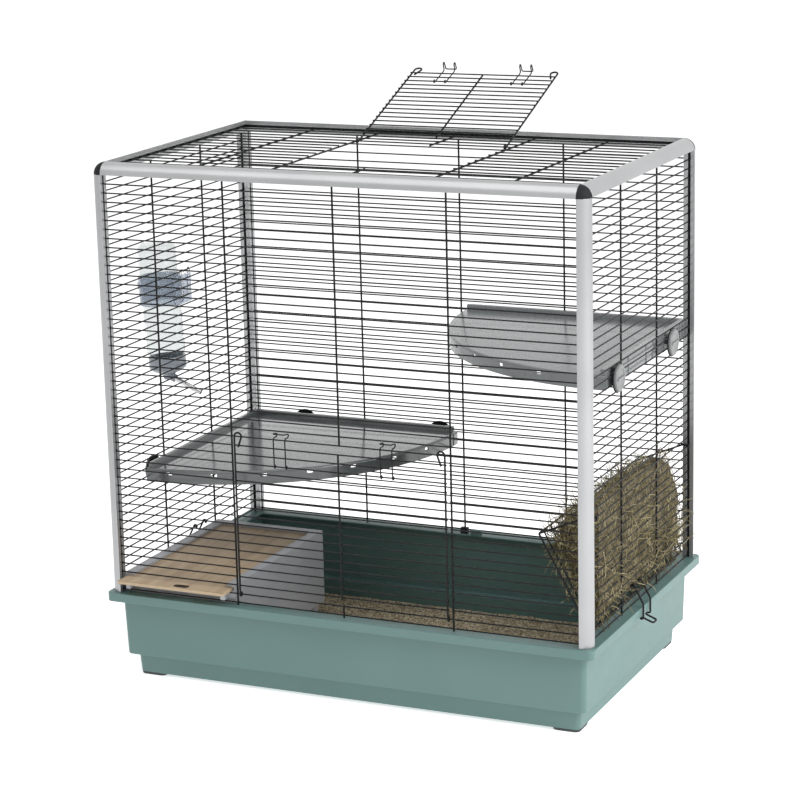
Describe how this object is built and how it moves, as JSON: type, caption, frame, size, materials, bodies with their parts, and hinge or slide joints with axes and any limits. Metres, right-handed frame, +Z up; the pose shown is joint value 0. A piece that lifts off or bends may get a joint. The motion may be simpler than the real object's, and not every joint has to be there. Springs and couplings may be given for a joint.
{
  "type": "ferret cage",
  "caption": "Tall wire cage for ferrets: aluminium frame on a deep moulded tub, with wire doors, corner shelves, nest box, hay rack and drinking bottle.",
  "frame": {"origin": "middle of the tub's footprint, on the surface that the feet stand on", "axes": "+X to the right of the front, +Y to the back, +Z up"},
  "size_m": [0.8829, 0.6221, 0.9005],
  "materials": {
    "teal_plastic": "semi-gloss moulded",
    "wood_granules": "loose granules",
    "satin_aluminium": "satin anodised",
    "charcoal_plastic": "matte",
    "black_coated_wire": "satin powder coat",
    "grey_shelf_plastic": "glossy",
    "nest_plastic": "semi-gloss",
    "plywood": "sanded",
    "dry_hay": "dry strands",
    "clear_bottle_plastic": "clear",
    "blue_grey_plastic": "glossy",
    "white_seal": "matte",
    "spout_steel": "bright",
    "holder_plastic": "translucent",
    "hook_steel": "bright"
  },
  "bodies": {
    "cage": {"base_tub": "teal_plastic", "litter": "wood_granules", "post_front_left": "satin_aluminium", "post_front_right": "satin_aluminium", "post_rear_left": "satin_aluminium", "post_rear_right": "satin_aluminium", "rail_front": "satin_aluminium", "rail_rear": "satin_aluminium", "rail_left": "satin_aluminium", "rail_right": "satin_aluminium", "cap_front_left": "charcoal_plastic", "cap_front_right": "charcoal_plastic", "cap_rear_left": "charcoal_plastic", "cap_rear_right": "charcoal_plastic", "grille_front": "black_coated_wire", "grille_rear": "black_coated_wire", "grille_left": "black_coated_wire", "grille_right": "black_coated_wire", "grille_roof": "black_coated_wire", "rear_clip": "charcoal_plastic", "lower_shelf": "grey_shelf_plastic", "lower_nuts": "grey_shelf_plastic", "upper_shelf": "grey_shelf_plastic", "upper_nuts": "grey_shelf_plastic", "nest_box": "nest_plastic", "bottle_body": "clear_bottle_plastic", "bottle_cap": "blue_grey_plastic", "bottle_seal": "white_seal", "spout_tube": "spout_steel", "bottle_holder": "holder_plastic", "holder_hook": "hook_steel"},
    "roof_door_body": {"roof_door": "black_coated_wire"},
    "roof_latch_left_body": {"roof_latch_left": "black_coated_wire"},
    "roof_latch_right_body": {"roof_latch_right": "black_coated_wire"},
    "front_door_body": {"front_door": "black_coated_wire"},
    "front_latch_left_body": {"front_latch_left": "black_coated_wire"},
    "front_latch_right_body": {"front_latch_right": "black_coated_wire"},
    "base_clip_left_body": {"base_clip_left": "black_coated_wire"},
    "base_clip_right_body": {"base_clip_right": "black_coated_wire"},
    "lower_clamp_left_body": {"lower_clamp_left": "grey_shelf_plastic"},
    "lower_clamp_middle_body": {"lower_clamp_middle": "grey_shelf_plastic"},
    "lower_clamp_side_body": {"lower_clamp_side": "grey_shelf_plastic"},
    "upper_clamp_front_body": {"upper_clamp_front": "grey_shelf_plastic"},
    "upper_clamp_rear_body": {"upper_clamp_rear": "grey_shelf_plastic"},
    "nest_lid_body": {"nest_lid": "plywood"},
    "hay_rack_body": {"hay_rack": "black_coated_wire", "hay": "dry_hay"},
    "spout_ball_body": {"spout_ball": "spout_steel"}
  },
  "joints": [
    {"name": "roof_door_hinge", "type": "hinge", "parent": "cage", "child": "roof_door_body", "pos_m": [0, 0.1215, 0.801], "axis": [1, 0, 0], "range_deg": [0, 159]},
    {"name": "roof_latch_left_hinge", "type": "hinge", "parent": "roof_door_body", "child": "roof_latch_left_body", "pos_m": [-0.064, 0.31067, 0.87324], "axis": [-1, 0, 0], "range_deg": [0, 75]},
    {"name": "roof_latch_right_hinge", "type": "hinge", "parent": "roof_door_body", "child": "roof_latch_right_body", "pos_m": [0.07, 0.31067, 0.87324], "axis": [-1, 0, 0], "range_deg": [0, 75]},
    {"name": "front_door_hinge", "type": "hinge", "parent": "cage", "child": "front_door_body", "pos_m": [0, -0.236, 0.15875], "axis": [1, 0, 0], "range_deg": [0, 110]},
    {"name": "front_latch_left_hinge", "type": "hinge", "parent": "front_door_body", "child": "front_latch_left_body", "pos_m": [-0.096, -0.23635, 0.365], "axis": [1, 0, 0], "range_deg": [0, 70]},
    {"name": "front_latch_right_hinge", "type": "hinge", "parent": "front_door_body", "child": "front_latch_right_body", "pos_m": [0.078, -0.23635, 0.365], "axis": [1, 0, 0], "range_deg": [0, 70]},
    {"name": "base_clip_left_hinge", "type": "hinge", "parent": "cage", "child": "base_clip_left_body", "pos_m": [-0.386, 0.032, 0.1725], "axis": [0, 1, 0], "range_deg": [0, 110]},
    {"name": "base_clip_right_hinge", "type": "hinge", "parent": "cage", "child": "base_clip_right_body", "pos_m": [0.386, -0.02, 0.1725], "axis": [0, -1, 0], "range_deg": [0, 110]},
    {"name": "lower_clamp_left_turn", "type": "hinge", "parent": "cage", "child": "lower_clamp_left_body", "pos_m": [-0.2898, 0.24, 0.30312], "axis": [0, 1, 0], "range_deg": [-180, 180]},
    {"name": "lower_clamp_middle_turn", "type": "hinge", "parent": "cage", "child": "lower_clamp_middle_body", "pos_m": [-0.0438, 0.24, 0.30312], "axis": [0, 1, 0], "range_deg": [-180, 180]},
    {"name": "lower_clamp_side_turn", "type": "hinge", "parent": "cage", "child": "lower_clamp_side_body", "pos_m": [-0.39, -0.1062, 0.30312], "axis": [1, 0, 0], "range_deg": [-180, 180]},
    {"name": "upper_clamp_front_turn", "type": "hinge", "parent": "cage", "child": "upper_clamp_front_body", "pos_m": [0.39, -0.1062, 0.50938], "axis": [1, 0, 0], "range_deg": [-180, 180]},
    {"name": "upper_clamp_rear_turn", "type": "hinge", "parent": "cage", "child": "upper_clamp_rear_body", "pos_m": [0.39, 0.1398, 0.50938], "axis": [1, 0, 0], "range_deg": [-180, 180]},
    {"name": "nest_lid_slide", "type": "slide", "parent": "cage", "child": "nest_lid_body", "axis": [0, -1, 0], "range_m": [0, 0.3]},
    {"name": "hay_rack_lift", "type": "slide", "parent": "cage", "child": "hay_rack_body", "axis": [0, 0, 1], "range_m": [0, 0.008]},
    {"name": "spout_ball_push", "type": "slide", "parent": "cage", "child": "spout_ball_body", "axis": [-0.9205, 0, 0.3907], "range_m": [0, 0.0015]}
  ]
}
